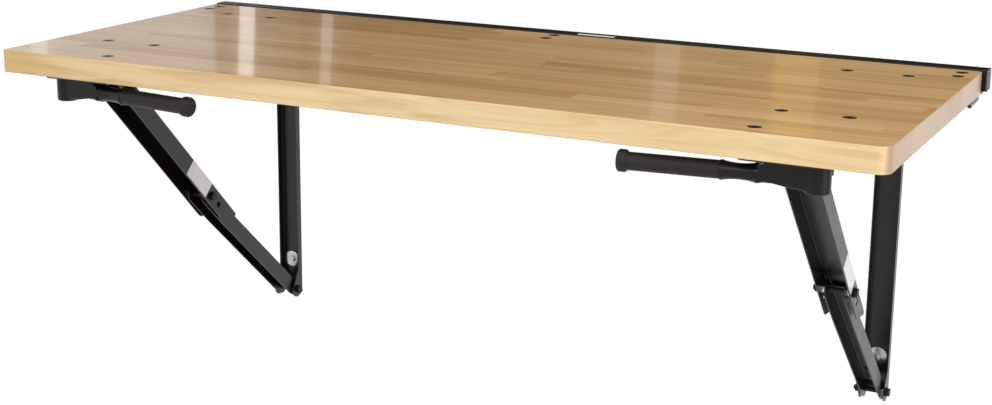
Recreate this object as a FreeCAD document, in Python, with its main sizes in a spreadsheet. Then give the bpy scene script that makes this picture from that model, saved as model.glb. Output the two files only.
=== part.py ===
import FreeCAD, Part
import math
import os
import re
import Sketcher

# Wall mounted folding workbench: a butcher block top hinged to a wall rail and two wall
# posts, held level by two folding legs, with two swinging grab handles under its front edge.
# Frame: the wall is the plane Y = 0, the room is towards -Y and +Z is up. The origin is the
# middle of the rail's length, on its rear face, and rail_top above it is the work surface.
# Lengths are in millimetres.

doc = FreeCAD.newDocument("FoldingWorkbench")
sheet = doc.addObject("Spreadsheet::Sheet", "Sizes")

SIZES = {
    # the block top
    "top_width": 1829, "top_depth": 745, "top_thick": 47, "top_gap": 50, "top_z": 19,
    "corner_round": 22, "corner_ease": 4, "edge_round": 2,
    # the steel rail along the wall
    "rail_depth": 38, "rail_top": 19, "rail_low": 23.5, "rail_length": 1842, "rail_steel": 2.5,
    "rail_round": 2, "cap_thick": 1.5, "stud_pitch": 406.4, "rail_hole": 4.5, "driver_hole": 10,
    # the wall posts
    "post_x": 737, "post_width": 54, "post_flange": 20, "post_steel": 2.5, "ear_round": 20,
    "flare_height": 46, "upper_screw_z": -131, "lower_screw_z": -617, "screw_hole": 4.5,
    # the pivots of a leg when the top is level, and how far out two of them are when folded
    "foot_y": -24.5, "foot_z": -687, "knee_y": -377, "knee_z": -364,
    "arm_y": -662, "arm_z": -66, "knee_folded_y": -35, "arm_folded_y": -57,
    # the upper channel of a leg, measured from the line of its pivots
    "leg_steel": 2.5, "bend_round": 4, "bend_inner": 1.5, "upper_half": 32,
    "upper_web": 23.5, "upper_free": 18.5,
    "upper_tail": 110, "upper_web_tail": 65, "upper_tail_free": 79,
    # the lower channel of a leg, measured from a line through the foot along its web
    "lower_half": 20, "lower_web": 18.5, "lower_free": 20, "lower_taper": 90,
    "lower_offset": 3, "knee_round": 20, "knee_cut": 12, "foot_round": 17, "foot_cut": 16,
    # the holes through a leg that lie over each other near the knee, and its label
    "lock_hole": 6, "lock_reach": 34, "label_low": 19, "label_high": 115, "label_thick": 0.3,
    # bolts, holes that turn on a bolt, and holes that only hold one
    "pivot_bolt": 5, "turning_hole": 5.06, "holding_hole": 5.05, "washer_round": 10.5,
    "washer_thick": 1.5, "hex_round": 9.3, "head_high": 6.5, "nut_high": 8.5,
    "thread_end": 3.5, "spacer_round": 9, "fender_round": 19.5, "fender_thick": 2.5,
    "lag_hex": 8.1, "lag_head": 6, "lag_round": 4.2,
    # the hinges
    "hinge_pin": 4, "hinge_seat": 4.06, "pin_hole": 4.02, "hinge_ear": 28, "ear_thick": 4,
    "leaf_thick": 3, "leaf_half": 22, "leaf_ear": 10.5, "post_saddle": 14, "arm_saddle": 9,
    "end_hinge_x": 882, "end_bolt_near": 30, "end_bolt_far": 73, "middle_bolt_near": 17,
    "middle_bolt_far": 60,
    # the plates bolted under the top
    "plate_thick": 4, "bolt_spread": 60, "front_bolt": 44, "middle_bolt": 194,
    "rear_bolt": 117, "bracket_front": 8, "bracket_back": 210, "bracket_half": 80,
    "cheek_inner": 36, "cheek_round": 14,
    "top_bolt": 4, "top_bolt_hole": 4.3, "bolt_head": 12.2, "head_hole": 12.6, "head_sunk": 0.4,
    "head_thick": 4.5, "small_nut": 7.5, "small_nut_high": 6,
    # the grab handles
    "handle_x": 788, "handle_y": -747, "handle_turn": 6.7, "handle_top": -33,
    "handle_bottom": -82, "boss_round": 22, "handle_half": 17, "handle_axis": -57,
    "near_ring": 98, "far_ring": 157, "ring_wide": 7, "ring_round": 17.5,
    "saddle_round": 16.5, "waist_round": 14, "waist_curve": 136, "grip_end": 323,
    "grip_round": 16, "grip_core": 9, "knob_round": 19.8, "knob_wide": 18,
}

# The linkage of one leg has to close when the top is level and when it hangs down.
foot = (SIZES["foot_y"], SIZES["foot_z"])
knee = (SIZES["knee_y"], SIZES["knee_z"])
arm = (SIZES["arm_y"], SIZES["arm_z"])
lower_length = math.dist(foot, knee)
upper_length = math.dist(knee, arm)


def rise(length, run):
    return math.sqrt(length ** 2 - run ** 2)


def bearing(start, end):
    return math.degrees(math.atan2(end[1] - start[1], end[0] - start[0]))


knee_folded = (SIZES["knee_folded_y"],
               foot[1] + rise(lower_length, SIZES["knee_folded_y"] - foot[0]))
arm_folded = (SIZES["arm_folded_y"],
              knee_folded[1] - rise(upper_length, SIZES["arm_folded_y"] - knee_folded[0]))
lower_reach = rise(lower_length, SIZES["lower_offset"])
# The top turns a quarter turn about the hinge line, which takes arm to arm_folded.
fall = arm_folded[0] + arm[1]
shift = arm_folded[1] - arm[0]
SIZES["hinge_y"] = round((fall - shift) / 2, 4)
SIZES["hinge_z"] = round((fall + shift) / 2, 4)
SIZES["upper_length"] = round(upper_length, 4)
SIZES["upper_lean"] = round(bearing(knee, arm) - 90, 4)
SIZES["lower_reach"] = round(lower_reach, 4)
SIZES["lower_lean"] = round(bearing(foot, knee)
                            - bearing((0, 0), (SIZES["lower_offset"], lower_reach)), 4)
lower_swing = bearing(foot, knee) - bearing(foot, knee_folded)
upper_swing = (bearing(knee_folded, arm_folded) - bearing(knee, arm)) % 360
print("leg lengths", round(lower_length, 3), round(upper_length, 3))
print("swings", round(lower_swing, 4), round(upper_swing, 4))
print("hinge line", SIZES["hinge_y"], SIZES["hinge_z"])

for row, (alias, number) in enumerate(SIZES.items(), start=1):
    sheet.set(f"A{row}", alias)
    sheet.set(f"B{row}", str(number))
    sheet.setAlias(f"B{row}", alias)
doc.recompute()

NODES = []
SIDES = {"left": -1, "right": 1}
WORD = re.compile(r"[a-z][a-z_]*")
X_AXIS = FreeCAD.Vector(1, 0, 0)
Z_AXIS = FreeCAD.Vector(0, 0, 1)


def formula(text):
    """Turns a formula of size names into one that the document can bind."""
    return WORD.sub(lambda m: f"Sizes.{m[0]}" if m[0] in SIZES else m[0], str(text))


def value(text):
    return float(sheet.evalExpression(formula(text)))


def bind(thing, **sizes):
    for name, text in sizes.items():
        thing.setExpression(name, formula(text))
    return thing


def place(thing, x=0, y=0, z=0):
    for letter, text in zip("xyz", (x, y, z)):
        thing.setExpression(f"Placement.Base.{letter}", formula(text))
    return thing


def box(name, x, y, z):
    """A block between two formulas along each axis."""
    thing = doc.addObject("Part::Box", name)
    bind(thing, Length=f"({x[1]}) - ({x[0]})", Width=f"({y[1]}) - ({y[0]})",
         Height=f"({z[1]}) - ({z[0]})")
    return place(thing, x[0], y[0], z[0])


TURNS = {"x": FreeCAD.Rotation(FreeCAD.Vector(0, 1, 0), 90),
         "y": FreeCAD.Rotation(X_AXIS, -90),
         "z": FreeCAD.Rotation()}


def rod(name, radius, length, start, axis="x"):
    """A cylinder that runs from its start along an axis."""
    thing = doc.addObject("Part::Cylinder", name)
    bind(thing, Radius=radius, Height=length)
    thing.Placement = FreeCAD.Placement(FreeCAD.Vector(), TURNS[axis])
    return place(thing, *start)


def hexagon(name, radius, length, start, axis="x"):
    thing = doc.addObject("Part::Prism", name)
    thing.Polygon = 6
    bind(thing, Circumradius=radius, Height=length)
    thing.Placement = FreeCAD.Placement(FreeCAD.Vector(), TURNS[axis])
    return place(thing, *start)


def hoop(name, major, minor, middle):
    """A ring about a line along X."""
    thing = doc.addObject("Part::Torus", name)
    bind(thing, Radius1=major, Radius2=minor)
    thing.Placement = FreeCAD.Placement(FreeCAD.Vector(), TURNS["x"])
    return place(thing, *middle)


def fuse(name, parts):
    thing = doc.addObject("Part::MultiFuse", name)
    thing.Shapes = parts
    return thing


def group(name, parts):
    thing = doc.addObject("Part::Compound", name)
    thing.Links = parts
    return thing


def cut(name, base, tools):
    thing = doc.addObject("Part::Cut", name)
    thing.Base = base
    thing.Tool = tools[0] if len(tools) == 1 else group(name + "_tools", tools)
    return thing


def plate(name, corners, thick, start, plane="YZ_Plane"):
    """A plate with a straight sided outline. It runs from its start along +X, or along -Y."""
    body = doc.addObject("PartDesign::Body", name)
    sketch = body.newObject("Sketcher::SketchObject", name + "_outline")
    origin = [f for f in body.Origin.OriginFeatures if f.Role == plane][0]
    sketch.AttachmentSupport = (origin, [""])
    sketch.MapMode = "FlatFace"
    points = [FreeCAD.Vector(value(a), value(b), 0) for a, b in corners]
    for i, point in enumerate(points):
        following = points[(i + 1) % len(points)]
        sketch.addGeometry(Part.LineSegment(point, following), False)
    for i, (a, b) in enumerate(corners):
        following = (i + 1) % len(points)
        sketch.addConstraint(Sketcher.Constraint("Coincident", i, 2, following, 1))
        for kind, text in (("DistanceX", a), ("DistanceY", b)):
            number = sketch.addConstraint(Sketcher.Constraint(kind, -1, 1, i, 1, value(text)))
            sketch.setExpression(f"Constraints[{number}]", formula(text))
    pad = body.newObject("PartDesign::Pad", name + "_pad")
    pad.Profile = sketch
    bind(pad, Length=thick)
    body.Tip = pad
    if plane == "YZ_Plane":
        return place(body, start)
    return place(body, 0, start)


def rounded(name, base, radius, pick):
    """Rounds the edges that pick() accepts."""
    doc.recompute()
    thing = doc.addObject("Part::Fillet", name)
    thing.Base = base
    chosen = [i for i, edge in enumerate(base.Shape.Edges, start=1) if pick(edge)]
    thing.Edges = [(i, value(radius), value(radius)) for i in chosen]
    return thing


def spread(edge, axis):
    ends = [getattr(v.Point, axis) for v in edge.Vertexes]
    return max(ends) - min(ends)


def upright(edge):
    return spread(edge, "z") > 0.01 and spread(edge, "x") < 0.01 and spread(edge, "y") < 0.01


def level(edge):
    return spread(edge, "z") < 0.01


def along_bend(across, back):
    """Picks the long upright edges at a half width and at a distance back."""
    def pick(edge):
        middle = edge.CenterOfMass
        return (upright(edge) and spread(edge, "z") > 100
                and abs(abs(middle.x) - value(across)) < 0.01
                and abs(middle.y - value(back)) < 0.01)
    return pick


def crosswise(edge):
    return spread(edge, "x") > 0.01 and spread(edge, "y") < 0.01 and spread(edge, "z") < 0.01


def node(name, thing, at=None, axis=X_AXIS, angle="0"):
    """Names a finished sub-part, and stands it at its place when it was built at the origin."""
    thing.Label = name
    if at is not None:
        turned = value(angle)
        thing.Placement = FreeCAD.Placement(FreeCAD.Vector(), FreeCAD.Rotation(axis, turned))
        if abs(turned) > 0.001:
            thing.setExpression("Placement.Rotation.Angle", formula(angle))
        place(thing, *at)
    NODES.append(thing)
    return thing


# ---------------------------------------------------------------------------------------
# Block top: one edge glued slab, drilled for sixteen flush bolts
# ---------------------------------------------------------------------------------------
FRONT = "(-top_gap - top_depth)"
UNDER = "(top_z - top_thick)"
PLATE = "(top_z - top_thick - plate_thick)"



def corner_at(*ends):
    """Picks the upright edges that stand at given places."""
    spots = [(value(x), value(y)) for x, y in ends]

    def pick(edge):
        middle = edge.CenterOfMass
        return upright(edge) and any(abs(middle.x - x) < 0.01 and abs(middle.y - y) < 0.01
                                     for x, y in spots)
    return pick


BOLTS = []
for side in SIDES.values():
    inner = f"{side} * (post_x - bolt_spread)"
    outer = f"{side} * (post_x + bolt_spread)"
    end = f"{side} * end_hinge_x"
    BOLTS += [(inner, f"front_bolt + {FRONT}"), (inner, f"middle_bolt + {FRONT}"),
              (outer, f"middle_bolt + {FRONT}"), (inner, "-top_gap - rear_bolt"),
              (outer, "-top_gap - rear_bolt"), (end, "-top_gap - end_bolt_near"),
              (end, "-top_gap - end_bolt_far")]
BOLTS += [("0", "-top_gap - middle_bolt_near"), ("0", "-top_gap - middle_bolt_far")]

slab = box("slab", ("-top_width / 2", "top_width / 2"), (FRONT, "-top_gap"), (UNDER, "top_z"))
slab = rounded("slab_corner", slab, "corner_round", corner_at(("top_width / 2", FRONT)))
slab = rounded("slab_corners", slab, "corner_ease", corner_at(
    ("-top_width / 2", FRONT), ("-top_width / 2", "-top_gap"), ("top_width / 2", "-top_gap")))
slab = rounded("slab_edges", slab, "edge_round", level)
HEAD = "top_z - head_sunk - head_thick"
drilling = []
for number, (x, y) in enumerate(BOLTS):
    drilling.append(rod(f"bolt_way_{number}", "top_bolt_hole", "top_thick + 2",
                        (x, y, f"{UNDER} - 1"), "z"))
    drilling.append(rod(f"head_way_{number}", "head_hole", "head_thick + head_sunk + 1",
                        (x, y, HEAD), "z"))
node("bench_top", cut("drilled_slab", slab, drilling))

bolts = []
nuts = []
for number, (x, y) in enumerate(BOLTS):
    shank = rod(f"shank_{number}", "top_bolt", f"{HEAD} + 1 - ({PLATE} - small_nut_high - 2)",
                (x, y, f"{PLATE} - small_nut_high - 2"), "z")
    head = rod(f"head_{number}", "bolt_head", "head_thick", (x, y, HEAD), "z")
    socket = hexagon(f"socket_{number}", "3.6", "4", (x, y, f"{HEAD} + head_thick - 3"), "z")
    bolts.append(cut(f"bolt_{number}", fuse(f"bolt_solid_{number}", [shank, head]), [socket]))
    nut = hexagon(f"nut_body_{number}", "small_nut", "small_nut_high",
                  (x, y, f"{PLATE} - small_nut_high - 0.1"), "z")
    hole = rod(f"nut_hole_{number}", "top_bolt + 0.05", "small_nut_high + 4",
               (x, y, f"{PLATE} - small_nut_high - 2"), "z")
    nuts.append(cut(f"nut_{number}", nut, [hole]))
node("top_bolts", group("top_bolt_set", bolts))
node("top_nuts", group("top_nut_set", nuts))


def bolt_ways(name, spots, thick="plate_thick"):
    return [rod(f"{name}_way_{i}", "top_bolt_hole", f"{thick} + 2",
                (x, y, f"{UNDER} - ({thick}) - 1"), "z") for i, (x, y) in enumerate(spots)]


# ---------------------------------------------------------------------------------------
# Rail: a steel box of four walls screwed to the wall studs, with a plastic cap in each end
# ---------------------------------------------------------------------------------------
ALONG = ("-rail_length / 2", "rail_length / 2")
BETWEEN = ("rail_steel - rail_low", "rail_top - rail_steel")
STUDS = [f"{step} * stud_pitch" for step in (-1.5, -0.5, 0.5, 1.5)]


def outer_corner(edge):
    height = edge.CenterOfMass.z
    outside = height > value("rail_top") - 0.01 or height < 0.01 - value("rail_low")
    return crosswise(edge) and outside


walls = []
for wall_name, span in (("upper", ("rail_top - rail_steel", "rail_top")),
                        ("lower", ("-rail_low", "rail_steel - rail_low"))):
    flange = box(f"rail_{wall_name}", ALONG, ("-rail_depth", "0"), span)
    walls.append(rounded(f"rail_{wall_name}_round", flange, "rail_round", outer_corner))
for wall_name, start, hole in (("back", "-rail_steel", "rail_hole"),
                               ("front", "-rail_depth", "driver_hole")):
    web = box(f"rail_{wall_name}", ALONG, (start, f"{start} + rail_steel"), BETWEEN)
    rail_ways = [rod(f"{wall_name}_way_{i}", hole, "rail_steel + 2",
                     (spot, f"{start} - 1", "0"), "y") for i, spot in enumerate(STUDS)]
    walls.append(cut(f"rail_{wall_name}_drilled", web, rail_ways))
node("wall_rail", group("rail", walls))

for side_name, side in SIDES.items():
    cap = box(f"cap_{side_name}", ("0", "cap_thick"), ("-rail_depth / 2", "rail_depth / 2"),
              ("-rail_low", "rail_top"))
    cap = rounded(f"cap_round_{side_name}", cap, "rail_round", crosswise)
    plug = box(f"plug_{side_name}", ("-12", "0.5"),
               ("rail_steel + 0.2 - rail_depth / 2", "rail_depth / 2 - rail_steel - 0.2"),
               ("rail_steel + 0.2 - rail_low", "rail_top - rail_steel - 0.2"))
    core = box(f"plug_core_{side_name}", ("-13", "0"),
               ("rail_steel + 3 - rail_depth / 2", "rail_depth / 2 - rail_steel - 3"),
               ("rail_steel + 3 - rail_low", "rail_top - rail_steel - 3"))
    whole = cut(f"cap_body_{side_name}", fuse(f"cap_solid_{side_name}", [cap, plug]), [core])
    node(f"rail_cap_{side_name}", whole, (f"{side} * rail_length / 2", "-rail_depth / 2", "0"),
         Z_AXIS, "0" if side > 0 else "180")


def lag_screw(name, x, steel, z, washer):
    """A hex lag screw that holds steel of some thickness, cut off at the wall."""
    under = f"-({steel}) - ({washer})"
    shank = rod(name + "_shank", "lag_round", f"0.5 - ({under})", (x, f"{under} - 0.5", z), "y")
    head = hexagon(name + "_head", "lag_hex", "lag_head", (x, f"{under} - lag_head", z), "y")
    return fuse(name, [shank, head])


node("rail_screws", group("rail_screw_set", [
    lag_screw(f"rail_screw_{i}", spot, "rail_steel", "0", "0.05")
    for i, spot in enumerate(STUDS)]))


# ---------------------------------------------------------------------------------------
# Posts: a channel open to the room, with a saddle arm at the top and an ear at the foot
# ---------------------------------------------------------------------------------------
def saddle_outline(root_y, top_z, root_z, deep):
    """The side of a fixed hinge arm, out to the open saddle that the pin rests in."""
    return [(root_y, top_z), ("-top_gap + 4", top_z), ("-top_gap + 4", "hinge_z + 3.9"),
            ("hinge_y + 14", "hinge_z + 3.9"), ("hinge_y + 8", "hinge_z + 2.3"),
            ("hinge_y + 1", "hinge_z + 2.3"), ("hinge_y + 1", "hinge_z - hinge_seat"),
            ("hinge_y - 7", "hinge_z - hinge_seat - 0.2"), ("hinge_y - 7", f"hinge_z - {deep} + 4"),
            ("hinge_y - 3", f"hinge_z - {deep}"), (root_y, root_z)]


for side_name, side in SIDES.items():
    tag = f"post_{side_name}"
    column = box(tag + "_column", ("-post_width / 2", "post_width / 2"), ("-post_flange", "0"),
                 ("foot_z - 12", "-rail_low"))
    column = rounded(tag + "_bend", column, "bend_round", along_bend("post_width / 2", "0"))
    ear = rod(tag + "_ear", "ear_round", "post_width", ("-post_width / 2", "foot_y", "foot_z"))
    flare = plate(tag + "_flare", [
        ("-post_flange + 1", "foot_z + flare_height"), ("-post_flange", "foot_z + flare_height"),
        ("foot_y - ear_round", "foot_z + 4"), ("foot_y - ear_round", "foot_z"),
        ("foot_y", "foot_z - ear_round"), ("foot_y + 8", "foot_z - ear_round + 1.5"),
        ("-2", "foot_z - 12")], "post_width", "-post_width / 2")
    saddle = plate(tag + "_saddle", saddle_outline("-post_flange + 1", "-rail_low - 1",
                                                   "hinge_z - 85", "post_saddle"),
                   "post_width", "-post_width / 2")
    body = fuse(tag + "_solid", [column, ear, flare, saddle])
    inside = box(tag + "_inside", ("post_steel - post_width / 2", "post_width / 2 - post_steel"),
                 ("-200", "-post_steel"), ("foot_z - 100", "10"))
    inside = rounded(tag + "_bend_inside", inside, "bend_inner",
                     along_bend("post_width / 2 - post_steel", "-post_steel"))
    seat = rod(tag + "_seat", "hinge_seat", "post_width + 2",
               ("-post_width / 2 - 1", "hinge_y", "hinge_z"))
    pivot = rod(tag + "_pivot", "holding_hole", "post_width + 2",
                ("-post_width / 2 - 1", "foot_y", "foot_z"))
    ways = [rod(f"{tag}_{height}", "screw_hole", "post_steel + 2",
                ("0", "-post_steel - 1", height), "y")
            for height in ("upper_screw_z", "lower_screw_z")]
    node(tag, cut(tag + "_cut", body, [inside, seat, pivot] + ways),
         (f"{side} * post_x", "0", "0"))

screws = []
washers = []
for side_name, side in SIDES.items():
    for height in ("upper_screw_z", "lower_screw_z"):
        tag = f"screw_{side_name}_{height}"
        x = f"{side} * post_x"
        screws.append(lag_screw(tag, x, "post_steel", height, "fender_thick + 0.05"))
        disc = rod(tag + "_disc", "fender_round", "fender_thick",
                   (x, "-post_steel - fender_thick", height), "y")
        hole = rod(tag + "_disc_hole", "screw_hole", "fender_thick + 4",
                   (x, "-post_steel - fender_thick - 2", height), "y")
        washers.append(cut(tag + "_washer", disc, [hole]))
node("post_screws", group("post_screw_set", screws))
node("post_washers", group("post_washer_set", washers))

# ---------------------------------------------------------------------------------------
# Light hinges at the middle and both ends of the rail: arm, leaf with one ear, and pin
# ---------------------------------------------------------------------------------------
HINGES = {"left": ("-end_hinge_x", -1, "end_bolt_near", "end_bolt_far"),
          "middle": ("0", 1, "middle_bolt_near", "middle_bolt_far"),
          "right": ("end_hinge_x", 1, "end_bolt_near", "end_bolt_far")}
light_pins = []


def across(x, side, near, far):
    """The two X formulas of a stretch that lies outboard of a place, in rising order."""
    ends = (f"{x} + {side} * ({near})", f"{x} + {side} * ({far})")
    return ends if side > 0 else ends[::-1]


for name, (x, side, near, far) in HINGES.items():
    tag = f"hinge_{name}"
    low, high = across(x, side, 6, 32)
    foot_plate = box(tag + "_foot", (low, high), ("4 - top_gap", "-6"),
                     ("-rail_low - 4", "-rail_low"))
    low, high = across(x, side, 16, 22)
    stalk = plate(tag + "_stalk", saddle_outline("-8", "-rail_low - 3", "hinge_z - 5",
                                                 "arm_saddle"), "6", low)
    seat = rod(tag + "_seat", "hinge_seat", "8", (f"{low} - 1", "hinge_y", "hinge_z"))
    node(f"hinge_arm_{name}",
         cut(tag + "_arm", fuse(tag + "_arm_solid", [foot_plate, stalk]), [seat]))
    low, high = across(x, side, "-leaf_half", "leaf_half")
    leaf = box(tag + "_leaf", (low, high), (f"-top_gap - {far} - 16", "-top_gap - 4"),
               (f"{UNDER} - leaf_thick", UNDER))
    low, high = across(x, side, "leaf_ear", "leaf_ear + ear_thick")
    ear = plate(tag + "_ear", [
        ("hinge_y - 12", f"{UNDER} - 1"), ("hinge_y + 12", f"{UNDER} - 1"),
        ("hinge_y + 7", "hinge_z - 2"), ("hinge_y - 7", "hinge_z - 2")], "ear_thick", low)
    eye = rod(tag + "_eye", "7.5", "ear_thick", (low, "hinge_y", "hinge_z"))
    bore = rod(tag + "_bore", "pin_hole", "leaf_half", (f"{low} - 8", "hinge_y", "hinge_z"))
    ways = bolt_ways(tag, [(x, f"-top_gap - {near}"), (x, f"-top_gap - {far}")])
    node(f"hinge_leaf_{name}",
         cut(tag + "_leaf_cut", fuse(tag + "_leaf_solid", [leaf, ear, eye]), [bore] + ways))
    low, high = across(x, side, "leaf_ear - 2.5", "leaf_ear + 14.5")
    pin = rod(tag + "_pin", "hinge_pin", f"({high}) - ({low})", (low, "hinge_y", "hinge_z"))
    low, high = across(x, side, "leaf_ear - 2.5", "leaf_ear - 0.5")
    head = rod(tag + "_pin_head", "hinge_pin + 2", "2", (low, "hinge_y", "hinge_z"))
    light_pins.append(fuse(tag + "_pin_whole", [pin, head]))
node("rail_hinge_pins", group("rail_hinge_pin_set", light_pins))

# ---------------------------------------------------------------------------------------
# Main hinges over the posts: a plate under the top with two ears, and a long pin
# ---------------------------------------------------------------------------------------
for side_name, side in SIDES.items():
    tag = f"main_{side_name}"
    x = f"{side} * post_x"
    leaf = box(tag + "_leaf", (f"{x} - 76", f"{x} + 76"),
               ("-top_gap - rear_bolt - 24", "-top_gap - 8"), (PLATE, UNDER))
    solids = [leaf]
    for end_name, offset in (("low", "-(hinge_ear + ear_thick)"), ("high", "hinge_ear")):
        solids.append(plate(f"{tag}_{end_name}_ear", [
            ("hinge_y - 60", f"{PLATE} + 1"), ("hinge_y + 16", f"{PLATE} + 1"),
            ("hinge_y + 8", "hinge_z - 2"), ("hinge_y - 8", "hinge_z - 2")],
            "ear_thick", f"{x} + {offset}"))
        solids.append(rod(f"{tag}_{end_name}_eye", "8.5", "ear_thick",
                          (f"{x} + {offset}", "hinge_y", "hinge_z")))
    bore = rod(tag + "_bore", "pin_hole", "90", (f"{x} - 45", "hinge_y", "hinge_z"))
    ways = bolt_ways(tag, [(f"{x} - bolt_spread", "-top_gap - rear_bolt"),
                           (f"{x} + bolt_spread", "-top_gap - rear_bolt")])
    node(f"main_hinge_plate_{side_name}",
         cut(tag + "_cut", fuse(tag + "_solid", solids), [bore] + ways))
    half = "(hinge_ear + ear_thick + 2)"
    shaft = rod(tag + "_pin", "hinge_pin", f"2 * {half}", (f"{x} - {half}", "hinge_y",
                                                           "hinge_z"))
    heads = [rod(f"{tag}_pin_{end_name}", "hinge_pin + 2", "1.9",
                 (start, "hinge_y", "hinge_z"))
             for end_name, start in (("low", f"{x} - {half}"), ("high", f"{x} + {half} - 1.9"))]
    node(f"main_hinge_pin_{side_name}", fuse(tag + "_pin_whole", [shaft] + heads))

# ---------------------------------------------------------------------------------------
# Front brackets: a plate under the front of the top, with two cheeks for the leg's bolt
# ---------------------------------------------------------------------------------------
for side_name, side in SIDES.items():
    tag = f"bracket_{side_name}"
    x = f"{side} * post_x"
    flat = box(tag + "_flat", (f"{x} - bracket_half", f"{x} + bracket_half"),
               (f"bracket_front + {FRONT}", f"bracket_back + {FRONT}"), (PLATE, UNDER))
    flat = rounded(tag + "_corners", flat, "14", upright)
    solids = [flat]
    for end_name, offset in (("low", "-(cheek_inner + ear_thick)"), ("high", "cheek_inner")):
        solids.append(plate(f"{tag}_{end_name}_cheek", [
            ("arm_y - 52", f"{PLATE} + 1"), ("arm_y + 52", f"{PLATE} + 1"),
            ("arm_y + 48", f"{PLATE} - 6"), ("arm_y + 12", "arm_z - 7"),
            ("arm_y - 12", "arm_z - 7"), ("arm_y - 48", f"{PLATE} - 6")],
            "ear_thick", f"{x} + {offset}"))
        solids.append(rod(f"{tag}_{end_name}_eye", "cheek_round", "ear_thick",
                          (f"{x} + {offset}", "arm_y", "arm_z")))
    pivot = rod(tag + "_pivot", "holding_hole", "110", (f"{x} - 55", "arm_y", "arm_z"))
    swing = rod(tag + "_swing", "holding_hole", "plate_thick + 2",
                (f"{side} * handle_x", "handle_y", f"{PLATE} - 1"), "z")
    ways = bolt_ways(tag, [(f"{side} * (post_x - bolt_spread)", f"front_bolt + {FRONT}"),
                           (f"{side} * (post_x - bolt_spread)", f"middle_bolt + {FRONT}"),
                           (f"{side} * (post_x + bolt_spread)", f"middle_bolt + {FRONT}")])
    node(f"front_bracket_{side_name}",
         cut(tag + "_cut", fuse(tag + "_solid", solids), [pivot, swing] + ways))


# ---------------------------------------------------------------------------------------
# Pivot bolts: five bolts along X with a nut and two washers, and the sleeves on two of them
# ---------------------------------------------------------------------------------------
def cross_bolt(name, half, at, nut_side):
    """A bolt through a fork of the given half width, with its nut towards one side."""
    x, y, z = at
    grip = f"({half} + washer_thick)"
    tail = f"({grip} + nut_high + thread_end)"
    shank = rod(name + "_shank", "pivot_bolt", f"{grip} + {tail}",
                (f"{x} - {grip}" if nut_side > 0 else f"{x} - {tail}", y, z))
    head = hexagon(name + "_head", "hex_round", "head_high",
                   (f"{x} - {grip} - head_high" if nut_side > 0 else f"{x} + {grip}", y, z))
    bore = rod(name + "_bore", "holding_hole", "200", (f"{x} - 100", y, z))
    nut = hexagon(name + "_nut_body", "hex_round", "nut_high",
                  (f"{x} + {grip}" if nut_side > 0 else f"{x} - {grip} - nut_high", y, z))
    solids = [fuse(name + "_bolt", [shank, head]), cut(name + "_nut", nut, [bore])]
    for end_name, start in (("low", f"{x} - {grip} + 0.05"), ("high", f"{x} + {half} + 0.05")):
        disc = rod(f"{name}_{end_name}_disc", "washer_round", "washer_thick - 0.1",
                   (start, y, z))
        bore = rod(f"{name}_{end_name}_bore", "holding_hole", "6", (f"{start} - 2", y, z))
        solids.append(cut(f"{name}_{end_name}_washer", disc, [bore]))
    return group(name, solids)


def sleeves(name, inner, outer, at):
    """Two tubes on a bolt that keep a narrow channel in the middle of a wide one."""
    x, y, z = at
    solids = []
    for end_name, start in (("low", f"{x} - ({outer}) + 0.1"),
                            ("high", f"{x} + ({inner}) + 0.2")):
        tube = rod(f"{name}_{end_name}", "spacer_round", f"({outer}) - ({inner}) - 0.3",
                   (start, y, z))
        bore = rod(f"{name}_{end_name}_bore", "holding_hole", "40", (f"{start} - 10", y, z))
        solids.append(cut(f"{name}_{end_name}_tube", tube, [bore]))
    return group(name, solids)


for side_name, side in SIDES.items():
    at_arm = (f"{side} * post_x", "arm_y", "arm_z")
    at_foot = (f"{side} * post_x", "foot_y", "foot_z")
    at_knee = (f"{side} * post_x", "knee_y", "knee_z")
    node(f"arm_bolt_{side_name}",
         cross_bolt(f"arm_bolt_set_{side_name}", "cheek_inner + ear_thick", at_arm, 1))
    node(f"foot_bolt_{side_name}",
         cross_bolt(f"foot_bolt_set_{side_name}", "post_width / 2", at_foot, -1))
    node(f"foot_spacers_{side_name}",
         sleeves(f"foot_spacer_set_{side_name}", "lower_half", "post_width / 2 - post_steel",
                 at_foot))
    node(f"knee_bolt_{side_name}",
         cross_bolt(f"knee_bolt_set_{side_name}", "upper_half", at_knee, -1))
    node(f"knee_spacers_{side_name}",
         sleeves(f"knee_spacer_set_{side_name}", "lower_half", "upper_half - leg_steel",
                 at_knee))

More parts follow.
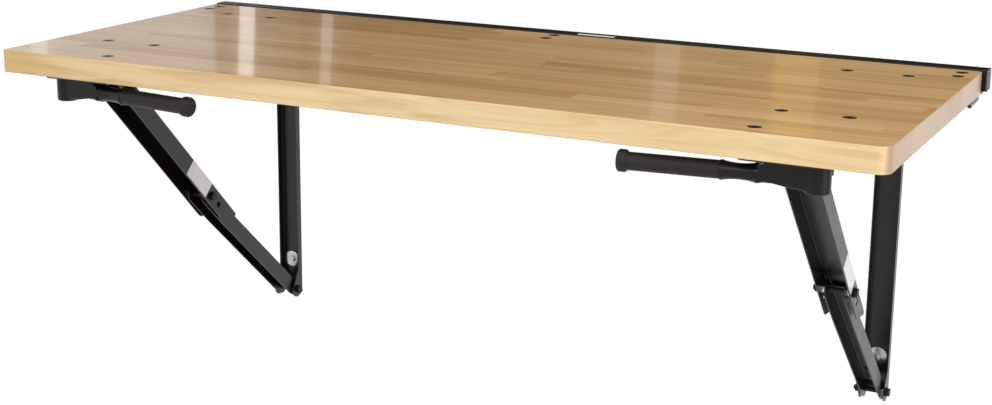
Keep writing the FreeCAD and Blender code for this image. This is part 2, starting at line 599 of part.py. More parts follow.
# ---------------------------------------------------------------------------------------
# Upper legs: a wide channel, built upright on its knee pivot with its web towards +Y
# ---------------------------------------------------------------------------------------
for side_name, side in SIDES.items():
    tag = f"upper_{side_name}"
    at = (f"{side} * post_x", "knee_y", "knee_z")
    profile = plate(tag + "_profile", [
        ("-upper_free", "upper_length"), ("-upper_free", "-upper_tail_free + 10"),
        ("-upper_free + 3", "-upper_tail_free + 2"),
        ("-upper_free + 10", "-upper_tail_free - 5"), ("upper_web - 9", "-upper_tail"),
        ("upper_web - 2", "-upper_tail + 2"), ("upper_web", "-upper_tail + 10"),
        ("upper_web", "upper_length")], "2 * upper_half", "-upper_half")
    profile = rounded(tag + "_bend", profile, "bend_round",
                      along_bend("upper_half", "upper_web"))
    crown = rod(tag + "_crown", "upper_free", "2 * upper_half",
                ("-upper_half", "0", "upper_length"))
    body = fuse(tag + "_solid", [profile, crown])
    clear = ("leg_steel - upper_half", "upper_half - leg_steel")
    inside = box(tag + "_inside", clear, ("-60", "upper_web - leg_steel"),
                 ("-200", "upper_length + 60"))
    inside = rounded(tag + "_bend_inside", inside, "bend_inner",
                     along_bend("upper_half - leg_steel", "upper_web - leg_steel"))
    web_end = box(tag + "_web_end", clear, ("0", "upper_web + 5"), ("-200", "-upper_web_tail"))
    top_bore = rod(tag + "_top_bore", "turning_hole", "100", ("-50", "0", "upper_length"))
    knee_bore = rod(tag + "_knee_bore", "holding_hole", "100", ("-50", "0", "0"))
    lock = rod(tag + "_lock", "lock_hole", "100", ("-50", "0", "-lock_reach"))
    flat = box(tag + "_lock_flat", ("-50", "50"), ("-lock_hole", "lock_hole"),
               ("-lock_reach - lock_hole - 2", "-lock_reach"))
    node(f"upper_leg_{side_name}",
         cut(tag + "_cut", body, [inside, web_end, top_bore, knee_bore, lock, flat]),
         at, X_AXIS, "upper_lean")
    label = box(tag + "_label", ("upper_half", "upper_half + label_thick"),
                ("2 - upper_free", "upper_web - 2"), ("label_low", "label_high"))
    label = rounded(tag + "_label_round", label, "1.5", crosswise)
    node(f"blank_label_{side_name}", label, at, X_AXIS, "upper_lean")

# ---------------------------------------------------------------------------------------
# Lower legs: a narrow channel, built upright on its foot pivot with its web towards +Y
# ---------------------------------------------------------------------------------------
for side_name, side in SIDES.items():
    tag = f"lower_{side_name}"
    profile = plate(tag + "_profile", [
        ("-foot_round", "0"), ("-lower_free", "14"),
        ("-lower_free", "lower_reach - lower_taper"), ("lower_offset - knee_round", "lower_reach"),
        ("lower_web - 8", "lower_reach"), ("lower_web", "lower_reach - knee_cut"),
        ("lower_web", "foot_cut"), ("foot_round", "0")], "2 * lower_half", "-lower_half")
    profile = rounded(tag + "_bend", profile, "bend_round",
                      along_bend("lower_half", "lower_web"))
    toe = rod(tag + "_toe", "foot_round", "2 * lower_half", ("-lower_half", "0", "0"))
    head = rod(tag + "_head", "knee_round", "2 * lower_half",
               ("-lower_half", "lower_offset", "lower_reach"))
    head_edge = box(tag + "_head_edge", ("-lower_half - 1", "lower_half + 1"),
                    ("lower_web", "lower_web + 20"), ("0", "lower_reach + 60"))
    inside = box(tag + "_inside", ("leg_steel - lower_half", "lower_half - leg_steel"),
                 ("-60", "lower_web - leg_steel"), ("-60", "lower_reach + 60"))
    inside = rounded(tag + "_bend_inside", inside, "bend_inner",
                     along_bend("lower_half - leg_steel", "lower_web - leg_steel"))
    foot_web = box(tag + "_foot_web", ("leg_steel - lower_half", "lower_half - leg_steel"),
                   ("0", "40"), ("-40", "foot_cut"))
    knee_web = box(tag + "_knee_web", ("leg_steel - lower_half", "lower_half - leg_steel"),
                   ("0", "40"), ("lower_reach - knee_cut", "lower_reach + 40"))
    foot_bore = rod(tag + "_foot_bore", "turning_hole", "100", ("-50", "0", "0"))
    knee_bore = rod(tag + "_knee_bore", "turning_hole", "100",
                    ("-50", "lower_offset", "lower_reach"))
    # The folded leg lies over the post's lower screw, whose head stands in this window.
    tall = "(lower_screw_z - foot_z)"
    window = [rod(f"{tag}_window_{end_name}", "11", "20", ("0", "8", f"{tall} {offset}"), "y")
              for end_name, offset in (("low", "- 6"), ("high", "+ 6"))]
    window.append(box(tag + "_window_mid", ("-11", "11"), ("8", "28"),
                      (f"{tall} - 6", f"{tall} + 6")))
    tools = [inside, head_edge, foot_web, knee_web, foot_bore, knee_bore] + window
    node(f"lower_leg_{side_name}", cut(tag + "_cut", fuse(tag + "_solid",
                                                          [profile, toe, head]), tools),
         (f"{side} * post_x", "foot_y", "foot_z"), X_AXIS, "lower_lean")

# ---------------------------------------------------------------------------------------
# Handles: a moulded arm that swings on an upright bolt, with a soft grip over its end
# ---------------------------------------------------------------------------------------
for side_name, side in SIDES.items():
    tag = f"handle_{side_name}"
    at = (f"{side} * handle_x", "handle_y", "0")
    turned = "180 + handle_turn" if side > 0 else "-handle_turn"
    boss = rod(tag + "_boss", "boss_round", "handle_top - handle_bottom",
               ("0", "0", "handle_bottom"), "z")
    boss = rounded(tag + "_boss_edge", boss, "3",
                   lambda edge: edge.Closed and edge.CenterOfMass.z < value("handle_axis"))
    beam = plate(tag + "_beam", [
        ("0", "handle_top"), ("84", "handle_top"), ("94", "handle_top - 7"),
        ("near_ring + 1", "handle_top - 8"), ("near_ring + 1", "handle_bottom + 10"),
        ("88", "handle_bottom + 12.5"), ("72", "handle_bottom + 12"),
        ("48", "handle_bottom + 7.5"), ("16", "handle_bottom + 4"),
        ("0", "handle_bottom + 4")], "2 * handle_half", "handle_half", "XZ_Plane")
    beam = rounded(tag + "_beam_edges", beam, "5", lambda edge: (
        spread(edge, "y") < 0.01 and spread(edge, "x") > 8
        and edge.CenterOfMass.z < value("handle_axis")))
    solids = [boss, beam]
    for ring_name, start in (("near", "near_ring"), ("far", "far_ring")):
        ring = rod(f"{tag}_{ring_name}_ring", "ring_round", "ring_wide",
                   (start, "0", "handle_axis"))
        solids.append(rounded(f"{tag}_{ring_name}_soft", ring, "2", lambda edge: edge.Closed))
    saddle = rod(tag + "_saddle", "saddle_round", "far_ring - near_ring",
                 ("near_ring + 1", "0", "handle_axis"))
    waist = hoop(tag + "_waist", "waist_round + waist_curve", "waist_curve",
                 ("(near_ring + ring_wide + far_ring) / 2", "0", "handle_axis"))
    solids.append(cut(tag + "_waisted", saddle, [waist]))
    solids.append(rod(tag + "_core", "grip_core", "grip_end - far_ring",
                      ("far_ring", "0", "handle_axis")))
    bore = rod(tag + "_bore", "turning_hole", "200", ("0", "0", "-150"), "z")
    recess = rod(tag + "_recess", "washer_round + 1", "11", ("0", "0", "handle_bottom - 1"),
                 "z")
    node(f"handle_arm_{side_name}",
         cut(tag + "_cut", fuse(tag + "_solid", solids), [bore, recess]), at, Z_AXIS, turned)
    sleeve = rod(tag + "_sleeve", "grip_round", "grip_end - far_ring - ring_wide + 1",
                 ("far_ring + ring_wide + 0.1", "0", "handle_axis"))
    knob = rod(tag + "_knob", "knob_round", "knob_wide", ("grip_end", "0", "handle_axis"))
    knob = rounded(tag + "_knob_round", knob, "5", lambda edge: edge.Closed)
    hole = rod(tag + "_grip_hole", "grip_core + 0.05", "grip_end - far_ring + 1",
               ("far_ring", "0", "handle_axis"))
    node(f"handle_grip_{side_name}",
         cut(tag + "_grip", fuse(tag + "_grip_solid", [sleeve, knob]), [hole]),
         at, Z_AXIS, turned)
    base = "(handle_bottom + 2)"
    spindle = rod(tag + "_spindle", "pivot_bolt", f"{UNDER} - 0.2 - {base}",
                  (at[0], at[1], base), "z")
    spindle_head = hexagon(tag + "_spindle_head", "hex_round", "head_high",
                           (at[0], at[1], base), "z")
    spindle_washer = rod(tag + "_spindle_washer", "washer_round", "1.2",
                         (at[0], at[1], f"{base} + head_high"), "z")
    node(f"handle_bolt_{side_name}",
         fuse(tag + "_spindle_whole", [spindle, spindle_head, spindle_washer]))

# ---------------------------------------------------------------------------------------
# Check every object, then write one file for each sub-part
# ---------------------------------------------------------------------------------------
doc.recompute()
faults = [thing.Name for thing in doc.Objects
          if "Invalid" in thing.State or "Error" in thing.State]
faults += [thing.Label for thing in NODES if thing.Shape.isNull() or not thing.Shape.isValid()]
if faults:
    raise RuntimeError("these objects failed: " + ", ".join(faults))
os.makedirs("parts", exist_ok=True)
for thing in NODES:
    thing.Shape.exportStep(f"parts/{thing.Label}.step")
print(len(NODES), "sub-parts written")
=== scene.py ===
import math

import bpy
from mathutils import Matrix, Vector

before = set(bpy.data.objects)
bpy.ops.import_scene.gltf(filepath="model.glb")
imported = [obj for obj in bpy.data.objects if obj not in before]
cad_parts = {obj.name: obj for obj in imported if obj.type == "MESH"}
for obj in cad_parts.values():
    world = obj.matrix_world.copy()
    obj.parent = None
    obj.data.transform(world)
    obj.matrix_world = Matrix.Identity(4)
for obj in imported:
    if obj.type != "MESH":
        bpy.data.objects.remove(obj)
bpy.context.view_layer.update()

# ---------------------------------------------------------------------------------------
# Camera: it stands in the room to the right of the bench's middle, 0.6 m above the work
# surface, and looks left and down across it. The long lens is shifted a little to frame it.
# ---------------------------------------------------------------------------------------
CAMERA_PLACE = (1.4953, -3.3720, 0.6164)
azimuth, elevation, roll = math.radians(-27.01), math.radians(-13.42), math.radians(0.43)
ahead = Vector((math.sin(azimuth) * math.cos(elevation),
                math.cos(azimuth) * math.cos(elevation), math.sin(elevation)))
right = ahead.cross(Vector((0, 0, 1))).normalized()
up = right.cross(ahead)
right, up = (right * math.cos(roll) + up * math.sin(roll),
             up * math.cos(roll) - right * math.sin(roll))
camera_data = bpy.data.cameras.new("camera")
camera_data.sensor_width = 36
camera_data.lens = 60.59
camera_data.shift_x = 0.0198
camera_data.shift_y = -0.05
camera_data.clip_start, camera_data.clip_end = 0.05, 60
camera = bpy.data.objects.new("camera", camera_data)
turn = Matrix((right, up, -ahead)).transposed().to_4x4()
camera.matrix_world = Matrix.Translation(CAMERA_PLACE) @ turn
bpy.context.scene.collection.objects.link(camera)
bpy.context.scene.camera = camera
bpy.context.scene.view_settings.view_transform = "Standard"

# ---------------------------------------------------------------------------------------
# Studio: a pale floor under the bench, a white world, and large soft lamps. Beyond the wall
# side stand a dark card, a pale wall and tall strips of light, which the lacquer mirrors.
# ---------------------------------------------------------------------------------------
FLOOR_SIZE, FLOOR_HEIGHT = 16, -0.88
FLOOR_GLOW = 1.05
FLOOR_GLOW_SHARE = 0.90
SKY_ON_THE_BENCH = 0.60
SKY_SEEN = 1.0


def deselect():
    bpy.ops.object.select_all(action="DESELECT")
    bpy.context.view_layer.objects.active = None


def new_material(name):
    made = bpy.data.materials.new(name)
    made.use_nodes = True
    return made, made.node_tree, made.node_tree.nodes["Principled BSDF"]


def seen_as_white(tree):
    """A factor of 1 for the rays that show the background itself: eye, mirror and glass."""
    seen = tree.nodes.new("ShaderNodeLightPath")
    total = seen.outputs["Is Camera Ray"]
    for ray in ("Is Glossy Ray", "Is Transmission Ray"):
        larger = tree.nodes.new("ShaderNodeMath")
        larger.operation = "MAXIMUM"
        tree.links.new(total, larger.inputs[0])
        tree.links.new(seen.outputs[ray], larger.inputs[1])
        total = larger.outputs[0]
    return total


deselect()
bpy.ops.mesh.primitive_plane_add(size=FLOOR_SIZE, location=(0, 0, FLOOR_HEIGHT))
floor = bpy.context.object
floor.name = "floor"
floor_paint, tree, base = new_material("floor_paint")
base.inputs["Base Color"].default_value = (0.80, 0.80, 0.80, 1)
base.inputs["Roughness"].default_value = 0.9
base.inputs["Specular IOR Level"].default_value = 0.1
glow = tree.nodes.new("ShaderNodeEmission")
glow.inputs["Color"].default_value = (1, 1, 1, 1)
glow.inputs["Strength"].default_value = FLOOR_GLOW
mixed = tree.nodes.new("ShaderNodeMixShader")
strength = tree.nodes.new("ShaderNodeMath")
strength.operation = "MULTIPLY"
strength.inputs[1].default_value = FLOOR_GLOW_SHARE
tree.links.new(seen_as_white(tree), strength.inputs[0])
tree.links.new(strength.outputs[0], mixed.inputs["Fac"])
tree.links.new(base.outputs[0], mixed.inputs[1])
tree.links.new(glow.outputs[0], mixed.inputs[2])
tree.links.new(mixed.outputs[0], tree.nodes["Material Output"].inputs["Surface"])
floor.data.materials.append(floor_paint)

world = bpy.data.worlds.new("studio")
world.use_nodes = True
tree = world.node_tree
tree.nodes.clear()
sky = tree.nodes.new("ShaderNodeBackground")
sky.inputs["Color"].default_value = (1, 1, 1, 1)
sky.inputs["Strength"].default_value = SKY_ON_THE_BENCH
white = tree.nodes.new("ShaderNodeBackground")
white.inputs["Color"].default_value = (1, 1, 1, 1)
white.inputs["Strength"].default_value = SKY_SEEN
chosen = tree.nodes.new("ShaderNodeMixShader")
out = tree.nodes.new("ShaderNodeOutputWorld")
tree.links.new(seen_as_white(tree), chosen.inputs["Fac"])
tree.links.new(sky.outputs[0], chosen.inputs[1])
tree.links.new(white.outputs[0], chosen.inputs[2])
tree.links.new(chosen.outputs[0], out.inputs["Surface"])
bpy.context.scene.world = world

# Only reflections show the card, so that the lacquer mirrors a dim room with windows in it.
CARD_MIDDLE = (1.55, 2.7, 1.35)
CARD_WIDTH, CARD_HEIGHT = 10.9, 2.7
deselect()
bpy.ops.mesh.primitive_plane_add(size=1)
card = bpy.context.object
card.name = "dark_card"
card.data.transform(Matrix.Translation(CARD_MIDDLE)
                    @ Matrix.Diagonal((CARD_WIDTH, 1, CARD_HEIGHT, 1))
                    @ Matrix.Rotation(math.radians(90), 4, "X"))
card_paint, tree, base = new_material("card_paint")
base.inputs["Base Color"].default_value = (0.035, 0.024, 0.016, 1)
base.inputs["Roughness"].default_value = 1.0
base.inputs["Specular IOR Level"].default_value = 0.0
card.data.materials.append(card_paint)
for rays in ("camera", "diffuse", "transmission", "volume_scatter", "shadow"):
    setattr(card, "visible_" + rays, False)


def soft_lamp(name, place, aim, size, power, colour=(1, 1, 1)):
    """A rectangular lamp that is turned towards a point."""
    lamp = bpy.data.lights.new(name, "AREA")
    lamp.shape = "RECTANGLE"
    lamp.size, lamp.size_y = size
    lamp.energy = power
    lamp.color = colour
    holder = bpy.data.objects.new(name, lamp)
    holder.location = place
    facing = Vector(aim) - Vector(place)
    holder.rotation_euler = facing.to_track_quat("-Z", "Y").to_euler()
    holder.visible_camera = False
    bpy.context.scene.collection.objects.link(holder)


soft_lamp("key_lamp", place=(0.9, -3.6, 2.3), aim=(0, -0.4, -0.1), size=(2.4, 1.6), power=44)
soft_lamp("top_lamp", place=(1.5, -0.7, 2.5), aim=(0.8, -0.5, 0), size=(1.8, 1.3), power=47)
soft_lamp("right_lamp", place=(3.6, -1.5, 0.25), aim=(0, -0.4, -0.25), size=(1.6, 2.2), power=31)
soft_lamp("left_lamp", place=(-3.4, -2.6, 1.2), aim=(0, -0.4, -0.2), size=(1.4, 1.4), power=8)

WHITE_LIGHT = (1, 1, 1)
AMBER_LIGHT = (1, 0.66, 0.06)
COOL_LIGHT = (0.84, 0.94, 1)
LIGHT_Y = 2.6
LIGHT_MIDDLE, LIGHT_HEIGHT = 0.95, 1.5


def power_for(glare, wide):
    """The power with which a lamp of this width shows a brightness in the lacquer."""
    return glare * wide * LIGHT_HEIGHT * math.pi


PALE_WALL_X, PALE_WALL_WIDTH, PALE_WALL_GLARE = -3.38, 1.06, 0.82
soft_lamp("pale_wall_lamp", (PALE_WALL_X, LIGHT_Y, LIGHT_MIDDLE), (PALE_WALL_X, 0, LIGHT_MIDDLE),
          (PALE_WALL_WIDTH, LIGHT_HEIGHT), power_for(PALE_WALL_GLARE, PALE_WALL_WIDTH), COOL_LIGHT)

# Each strip of light has its X, width, brightness and colour, and is turned towards the middle.
STRIPS = [
    (-2.70, 0.07, 2.3, WHITE_LIGHT),
    (-2.51, 0.15, 0.15, WHITE_LIGHT),
    (-2.29, 0.05, 1.0, WHITE_LIGHT),
    (-0.75, 0.10, 0.4, WHITE_LIGHT),
    (-0.24, 0.17, 0.50, AMBER_LIGHT)]
for number, (x, wide, glare, colour) in enumerate(STRIPS):
    soft_lamp(f"strip_lamp_{number}", (x, LIGHT_Y, LIGHT_MIDDLE), (x * 0.6, -0.4, 0.3),
              (wide, LIGHT_HEIGHT), power_for(glare, wide), colour)

# ---------------------------------------------------------------------------------------
# Block top: beech boards glued edge to edge along the bench, each made up of shorter
# lengths, sanded, bored for sixteen flush bolts and sealed with a gloss lacquer.
# ---------------------------------------------------------------------------------------


def group_of(name, takes, gives):
    """A node group with its own named sockets, and its inner input and output nodes."""
    made = bpy.data.node_groups.new(name, "ShaderNodeTree")
    for label, kind, value in takes:
        socket = made.interface.new_socket(label, in_out="INPUT", socket_type=kind)
        if value is not None:
            socket.default_value = value
    for label, kind in gives:
        made.interface.new_socket(label, in_out="OUTPUT", socket_type=kind)
    return made, made.nodes.new("NodeGroupInput"), made.nodes.new("NodeGroupOutput")


def put(tree, kind, **settings):
    """A new node with its settings."""
    made = tree.nodes.new(kind)
    for name, value in settings.items():
        setattr(made, name, value)
    return made


def worked_out(tree, operation, first, second=None, third=None):
    """The result of a Math node, from numbers or from the outputs of other nodes."""
    made = put(tree, "ShaderNodeMath", operation=operation)
    for slot, value in enumerate((first, second, third)):
        if value is None:
            continue
        if isinstance(value, (int, float)):
            made.inputs[slot].default_value = value
        else:
            tree.links.new(value, made.inputs[slot])
    return made.outputs[0]


def colour_mix(tree, factor, first, second):
    """The first colour turned into the second by a factor."""
    made = put(tree, "ShaderNodeMix", data_type="RGBA", blend_type="MIX")
    for slot, value in ((0, factor), (6, first), (7, second)):
        if isinstance(value, (int, float, tuple)):
            made.inputs[slot].default_value = value
        else:
            tree.links.new(value, made.inputs[slot])
    return made.outputs[2]


def noise_of(tree, vector, scale, detail=4, roughness=0.55, distortion=0):
    made = put(tree, "ShaderNodeTexNoise")
    made.inputs["Scale"].default_value = scale
    made.inputs["Detail"].default_value = detail
    made.inputs["Roughness"].default_value = roughness
    made.inputs["Distortion"].default_value = distortion
    tree.links.new(vector, made.inputs["Vector"])
    return made.outputs["Fac"]


def scaled(tree, vector, scale):
    """A position with each axis multiplied, so that a pattern is stretched along the grain."""
    made = put(tree, "ShaderNodeMapping")
    made.inputs["Scale"].default_value = scale
    tree.links.new(vector, made.inputs["Vector"])
    return made.outputs[0]


def ramp_of(tree, factor, stops):
    """A colour ramp with its stops as pairs of place and colour."""
    made = put(tree, "ShaderNodeValToRGB")
    while len(made.color_ramp.elements) < len(stops):
        made.color_ramp.elements.new(0.5)
    for element, (position, colour) in zip(made.color_ramp.elements, stops):
        element.position = position
        element.color = (*colour, 1)
    tree.links.new(factor, made.inputs["Fac"])
    return made.outputs["Color"]


# The boards lie along X. Each strip across Y starts its lengths at another place, and each
# length has a tone of its own and takes the grain from another place in the tree.
FIRST_STRIP = 0.092
STAGGER = 7.3
SIDE_JOINT, BUTT_JOINT = 0.490, 0.4985
GRAIN_JUMP = 5.0
boards, given, taken = group_of("glued_boards", [
    ("Position", "NodeSocketVector", None), ("Strip Width", "NodeSocketFloat", 0.045),
    ("Length", "NodeSocketFloat", 0.5)],
    [("Tone", "NodeSocketFloat"), ("Joint", "NodeSocketFloat"),
     ("Offset", "NodeSocketVector")])
split = put(boards, "ShaderNodeSeparateXYZ")
boards.links.new(given.outputs["Position"], split.inputs[0])
across = worked_out(boards, "DIVIDE",
                    worked_out(boards, "ADD", split.outputs["Y"], FIRST_STRIP),
                    given.outputs["Strip Width"])
strip = worked_out(boards, "FLOOR", across)
strip_noise = put(boards, "ShaderNodeTexWhiteNoise", noise_dimensions="1D")
boards.links.new(strip, strip_noise.inputs["W"])
along = worked_out(boards, "ADD",
                   worked_out(boards, "DIVIDE", split.outputs["X"], given.outputs["Length"]),
                   worked_out(boards, "MULTIPLY", strip_noise.outputs["Value"], STAGGER))
cell = put(boards, "ShaderNodeCombineXYZ")
boards.links.new(strip, cell.inputs["X"])
boards.links.new(worked_out(boards, "FLOOR", along), cell.inputs["Y"])
cell_noise = put(boards, "ShaderNodeTexWhiteNoise", noise_dimensions="3D")
boards.links.new(cell.outputs[0], cell_noise.inputs["Vector"])
boards.links.new(cell_noise.outputs["Value"], taken.inputs["Tone"])


def off_middle(cells):
    """How far a place lies from the middle of its cell, up to 0.5 at the cell's edge."""
    return worked_out(boards, "ABSOLUTE", worked_out(
        boards, "SUBTRACT", worked_out(boards, "FRACT", cells), 0.5))


edge = off_middle(across)
end = off_middle(along)
boards.links.new(worked_out(boards, "MAXIMUM",
                            worked_out(boards, "GREATER_THAN", edge, SIDE_JOINT),
                            worked_out(boards, "GREATER_THAN", end, BUTT_JOINT)),
                 taken.inputs["Joint"])
jump = put(boards, "ShaderNodeVectorMath", operation="SCALE")
boards.links.new(cell_noise.outputs["Color"], jump.inputs[0])
jump.inputs["Scale"].default_value = GRAIN_JUMP
boards.links.new(jump.outputs[0], taken.inputs["Offset"])

STRIP_WIDTH, BOARD_LENGTH = 0.0458, 0.56
BOARD_SHARE, GRAIN_SHARE, FLOW_SHARE = 0.17, 0.60, 0.24
GLUE_LINE = (0.22, 0.11, 0.04, 1)
GLUE_SHARE = 0.16
PORE = (0.25, 0.12, 0.04, 1)
PORE_LEVEL, PORE_SHARE = 0.62, 0.12
lacquered_beech, tree, base = new_material("lacquered_beech")
coordinates = put(tree, "ShaderNodeTexCoord")
position = coordinates.outputs["Object"]
glued = put(tree, "ShaderNodeGroup", node_tree=boards)
glued.inputs["Strip Width"].default_value = STRIP_WIDTH
glued.inputs["Length"].default_value = BOARD_LENGTH
tree.links.new(position, glued.inputs["Position"])
moved = put(tree, "ShaderNodeVectorMath", operation="ADD")
tree.links.new(position, moved.inputs[0])
tree.links.new(glued.outputs["Offset"], moved.inputs[1])
grain = noise_of(tree, scaled(tree, moved.outputs[0], (0.8, 52, 52)), scale=1.6, detail=5,
                 roughness=0.6, distortion=0.2)
flow = noise_of(tree, scaled(tree, moved.outputs[0], (0.8, 12, 12)), scale=1.0, detail=3,
                roughness=0.5, distortion=0.9)
tone = worked_out(tree, "ADD",
                  worked_out(tree, "MULTIPLY", glued.outputs["Tone"], BOARD_SHARE),
                  worked_out(tree, "ADD", worked_out(tree, "MULTIPLY", grain, GRAIN_SHARE),
                             worked_out(tree, "MULTIPLY", flow, FLOW_SHARE)))
face_colour = ramp_of(tree, tone, [
    (0.30, (0.30, 0.160, 0.066)),
    (0.44, (0.42, 0.246, 0.108)),
    (0.56, (0.50, 0.315, 0.148)),
    (0.74, (0.58, 0.390, 0.200))])
fleck = noise_of(tree, scaled(tree, moved.outputs[0], (70, 480, 480)), scale=1.0, detail=2,
                 roughness=0.5)
pores = worked_out(tree, "MULTIPLY", worked_out(tree, "GREATER_THAN", fleck, PORE_LEVEL),
                   PORE_SHARE)
pored = colour_mix(tree, pores, face_colour, PORE)
glue = worked_out(tree, "MULTIPLY", glued.outputs["Joint"], GLUE_SHARE)
face_colour = colour_mix(tree, glue, pored, GLUE_LINE)

# The long edges are paler, with a yellower board at the left, and the two ends show pinkish
# end grain, one tone to a board.
YELLOW_BOARD = (0.60, 0.36, 0.10, 1)
YELLOW_FROM_X, YELLOW_FULL_X, YELLOW_SHARE = -0.66, -0.80, 0.5
END_JOINT = (0.42, 0.28, 0.18, 1)
END_JOINT_SHARE = 0.30
END_STRIP_WIDTH, UNBROKEN = 0.1375, 30
where = put(tree, "ShaderNodeSeparateXYZ")
tree.links.new(position, where.inputs[0])
front_flow = noise_of(tree, scaled(tree, position, (2.6, 34, 40)), scale=1.0, detail=6,
                      roughness=0.62, distortion=1.1)
front_colour = ramp_of(tree, front_flow, [
    (0.30, (0.64, 0.43, 0.21)),
    (0.50, (0.80, 0.59, 0.32)),
    (0.72, (0.86, 0.67, 0.40))])
left_part = put(tree, "ShaderNodeMapRange", interpolation_type="SMOOTHSTEP")
left_part.inputs["From Min"].default_value = YELLOW_FROM_X
left_part.inputs["From Max"].default_value = YELLOW_FULL_X
tree.links.new(worked_out(tree, "MULTIPLY_ADD", front_flow, 0.12, where.outputs["X"]),
               left_part.inputs["Value"])
yellowed = worked_out(tree, "MULTIPLY", left_part.outputs["Result"], YELLOW_SHARE)
front_colour = colour_mix(tree, yellowed, front_colour, YELLOW_BOARD)
rings = put(tree, "ShaderNodeTexWave", wave_type="RINGS", rings_direction="X")
rings.inputs["Scale"].default_value = 26
rings.inputs["Distortion"].default_value = 5
rings.inputs["Detail"].default_value = 3
tree.links.new(moved.outputs[0], rings.inputs["Vector"])
end_boards = put(tree, "ShaderNodeGroup", node_tree=boards)
end_boards.inputs["Strip Width"].default_value = END_STRIP_WIDTH
end_boards.inputs["Length"].default_value = UNBROKEN
tree.links.new(position, end_boards.inputs["Position"])
end_tone = worked_out(tree, "ADD",
                      worked_out(tree, "MULTIPLY", end_boards.outputs["Tone"], 0.8),
                      worked_out(tree, "MULTIPLY", rings.outputs["Fac"], 0.15))
end_colour = ramp_of(tree, end_tone, [
    (0.05, (0.39, 0.225, 0.120)),
    (0.50, (0.45, 0.290, 0.160)),
    (0.95, (0.49, 0.350, 0.205))])
end_joint = worked_out(tree, "MULTIPLY", end_boards.outputs["Joint"], END_JOINT_SHARE)
end_colour = colour_mix(tree, end_joint, end_colour, END_JOINT)
facing = put(tree, "ShaderNodeSeparateXYZ")
tree.links.new(coordinates.outputs["Normal"], facing.inputs[0])


def faces_along(axis):
    """A soft mask of where the surface faces along an axis of the piece."""
    steep = put(tree, "ShaderNodeMapRange", interpolation_type="SMOOTHSTEP")
    steep.inputs["From Min"].default_value = 0.45
    steep.inputs["From Max"].default_value = 0.85
    tree.links.new(worked_out(tree, "ABSOLUTE", facing.outputs[axis]), steep.inputs["Value"])
    return steep.outputs["Result"]


sided = colour_mix(tree, faces_along("Y"), face_colour, front_colour)
wood_colour = colour_mix(tree, faces_along("X"), sided, end_colour)
tree.links.new(wood_colour, base.inputs["Base Color"])
SMOOTHEST, WORN = 0.20, 0.14
wear = noise_of(tree, scaled(tree, position, (3, 3, 3)), scale=1.4, detail=3, roughness=0.5)
tree.links.new(worked_out(tree, "MULTIPLY_ADD", wear, WORN, SMOOTHEST), base.inputs["Roughness"])
base.inputs["Coat Weight"].default_value = 0.30
base.inputs["Coat Roughness"].default_value = 0.06
base.inputs["Specular IOR Level"].default_value = 0.12
bump = put(tree, "ShaderNodeBump")
bump.inputs["Strength"].default_value = 0.03
bump.inputs["Distance"].default_value = 0.0004
tree.links.new(grain, bump.inputs["Height"])
tree.links.new(bump.outputs[0], base.inputs["Normal"])


def dress(material, *names):
    """Gives pieces their finish."""
    for name in names:
        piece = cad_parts[name]
        piece.data.materials.clear()
        piece.data.materials.append(material)


dress(lacquered_beech, "bench_top")

# ---------------------------------------------------------------------------------------
# Wall rail, posts and fixed hinge arms: folded and welded steel under a satin black powder
# coat with a fine orange peel and a slight clouding. The rail is screwed to the studs, the
# posts to the wall, and a moulded black plug closes each end of the rail.
# ---------------------------------------------------------------------------------------
CLOUD = (0.014, 0.010, 0.009, 1)
CLOUD_SHARE, CLOUD_SPREAD = 0.35, 0.20
coat, given, taken = group_of("powder_skin", [
    ("Position", "NodeSocketVector", None),
    ("Colour", "NodeSocketColor", (0.02, 0.02, 0.02, 1)),
    ("Peel", "NodeSocketFloat", 0.3),
    ("Roughness", "NodeSocketFloat", 0.4)],
    [("Colour", "NodeSocketColor"), ("Roughness", "NodeSocketFloat"),
     ("Normal", "NodeSocketVector")])
peel = noise_of(coat, given.outputs["Position"], scale=1400, detail=2, roughness=0.5)
cloud = noise_of(coat, given.outputs["Position"], scale=22, detail=4, roughness=0.6)
clouded = worked_out(coat, "MULTIPLY", cloud, CLOUD_SHARE)
coat.links.new(colour_mix(coat, clouded, given.outputs["Colour"], CLOUD),
               taken.inputs["Colour"])
coat.links.new(worked_out(coat, "ADD", given.outputs["Roughness"],
                          worked_out(coat, "MULTIPLY_ADD", cloud, CLOUD_SPREAD,
                                     -CLOUD_SPREAD / 2)),
               taken.inputs["Roughness"])
skin_bump = put(coat, "ShaderNodeBump")
skin_bump.inputs["Distance"].default_value = 0.0003
coat.links.new(given.outputs["Peel"], skin_bump.inputs["Strength"])
coat.links.new(peel, skin_bump.inputs["Height"])
coat.links.new(skin_bump.outputs[0], taken.inputs["Normal"])


def coated(name, colour, peel_strength, roughness):
    """A painted or moulded finish with a fine skin of its own."""
    made, tree, base = new_material(name)
    skin = put(tree, "ShaderNodeGroup", node_tree=coat)
    skin.inputs["Colour"].default_value = (*colour, 1)
    skin.inputs["Peel"].default_value = peel_strength
    skin.inputs["Roughness"].default_value = roughness
    tree.links.new(put(tree, "ShaderNodeTexCoord").outputs["Object"], skin.inputs["Position"])
    for socket, target in (("Colour", "Base Color"), ("Roughness", "Roughness"),
                           ("Normal", "Normal")):
        tree.links.new(skin.outputs[socket], base.inputs[target])
    return made, base


COAT_BLACK = (0.0065, 0.0034, 0.0025)
powder_coat, base = coated("powder_coat", COAT_BLACK, peel_strength=0.30, roughness=0.30)
base.inputs["Specular IOR Level"].default_value = 0.44
dress(powder_coat, "post_left", "post_right", "hinge_arm_left", "hinge_arm_middle",
      "hinge_arm_right")

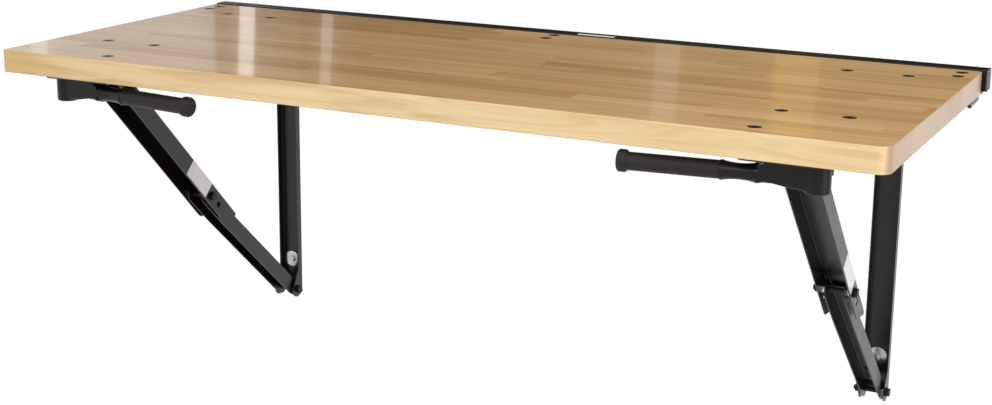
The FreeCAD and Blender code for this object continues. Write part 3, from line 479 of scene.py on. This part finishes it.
# The rail's coat is duller, and carries a plain pale sticker on its upper face.
STICKER_X, STICKER_HALF_LENGTH = 0.084, 0.043
STICKER_Y, STICKER_HALF_WIDTH = -0.0285, 0.0062
UPPER_FACE = 0.0185
STICKER_PAPER = (0.80, 0.77, 0.75, 1)
rail_coat, base = coated("rail_coat", COAT_BLACK, peel_strength=0.30, roughness=0.36)
base.inputs["Specular IOR Level"].default_value = 0.24
tree = rail_coat.node_tree
where = put(tree, "ShaderNodeSeparateXYZ")
tree.links.new(put(tree, "ShaderNodeTexCoord").outputs["Object"], where.inputs[0])


def within(axis, middle, half):
    """A mask of 1 where a coordinate lies within half a width of a place."""
    made = worked_out(tree, "COMPARE", where.outputs[axis], middle)
    made.node.inputs[2].default_value = half
    return made


stuck = worked_out(tree, "MULTIPLY",
                   worked_out(tree, "MULTIPLY", within("X", STICKER_X, STICKER_HALF_LENGTH),
                              within("Y", STICKER_Y, STICKER_HALF_WIDTH)),
                   worked_out(tree, "GREATER_THAN", where.outputs["Z"], UPPER_FACE))
skin_colour = base.inputs["Base Color"].links[0].from_socket
tree.links.new(colour_mix(tree, stuck, skin_colour, STICKER_PAPER), base.inputs["Base Color"])
dress(rail_coat, "wall_rail")

cap_plastic, base = coated("cap_plastic", (0.042, 0.050, 0.047), peel_strength=0.2,
                           roughness=0.40)
base.inputs["Specular IOR Level"].default_value = 0.5
dress(cap_plastic, "rail_cap_left", "rail_cap_right")

# ---------------------------------------------------------------------------------------
# Folding legs, front brackets and hinge leaves: folded steel channels and plates under the
# same black coat. The two halves of a leg turn on its knee bolt, and the flush bolts of the
# top hold the brackets and leaves under it.
# ---------------------------------------------------------------------------------------


def both_sides(*parts):
    """The names of parts that come as a left and a right piece."""
    return [f"{part}_{side}" for side in ("left", "right") for part in parts]


dress(powder_coat, *both_sides("upper_leg", "lower_leg", "front_bracket", "main_hinge_plate"))
dress(powder_coat, "hinge_leaf_left", "hinge_leaf_middle", "hinge_leaf_right")

# ---------------------------------------------------------------------------------------
# Bolts, nuts, washers and pins: zinc plated steel, except the flush bolts in the top and the
# pivot bolts of the legs at foot, knee and front bracket, which are blackened.
# ---------------------------------------------------------------------------------------
zinc_plate, tree, base = new_material("zinc_plate")
position = put(tree, "ShaderNodeTexCoord").outputs["Object"]
blotch = noise_of(tree, position, scale=160, detail=4, roughness=0.6)
spangled = ramp_of(tree, blotch, [
    (0.30, (0.33, 0.34, 0.36)),
    (0.55, (0.52, 0.53, 0.55)),
    (0.75, (0.64, 0.64, 0.64))])
tree.links.new(spangled, base.inputs["Base Color"])
base.inputs["Metallic"].default_value = 1
tree.links.new(worked_out(tree, "MULTIPLY_ADD", blotch, 0.22, 0.10), base.inputs["Roughness"])
dress(zinc_plate, "post_screws", "post_washers", "rail_screws", "rail_hinge_pins", "top_nuts",
      *both_sides("main_hinge_pin", "handle_bolt", "foot_spacers", "knee_spacers"))
black_oxide, base = coated("black_oxide", (0.014, 0.0085, 0.006), peel_strength=0.15,
                           roughness=0.36)
base.inputs["Specular IOR Level"].default_value = 0.20
dress(black_oxide, "top_bolts", *both_sides("arm_bolt", "foot_bolt", "knee_bolt"))

# ---------------------------------------------------------------------------------------
# Labels: blank white film with a smooth face, stuck on the outer flange of each upper leg
# just above the knee.
# ---------------------------------------------------------------------------------------
label_film, _ = coated("label_film", (0.92, 0.90, 0.88), peel_strength=0.02, roughness=0.28)
dress(label_film, "blank_label_left", "blank_label_right")

# ---------------------------------------------------------------------------------------
# Handles: a moulded black arm that swings on an upright bolt in the front bracket, with a
# soft grip and its knob pushed over the outer end.
# ---------------------------------------------------------------------------------------
moulded_arm, base = coated("moulded_arm", (0.008, 0.0062, 0.0056), peel_strength=0.10,
                           roughness=0.30)
base.inputs["Specular IOR Level"].default_value = 0.21
soft_grip, base = coated("soft_grip", (0.020, 0.0155, 0.0155), peel_strength=0.60,
                         roughness=0.55)
base.inputs["Specular IOR Level"].default_value = 0.25
dress(moulded_arm, "handle_arm_left", "handle_arm_right")
dress(soft_grip, "handle_grip_left", "handle_grip_right")
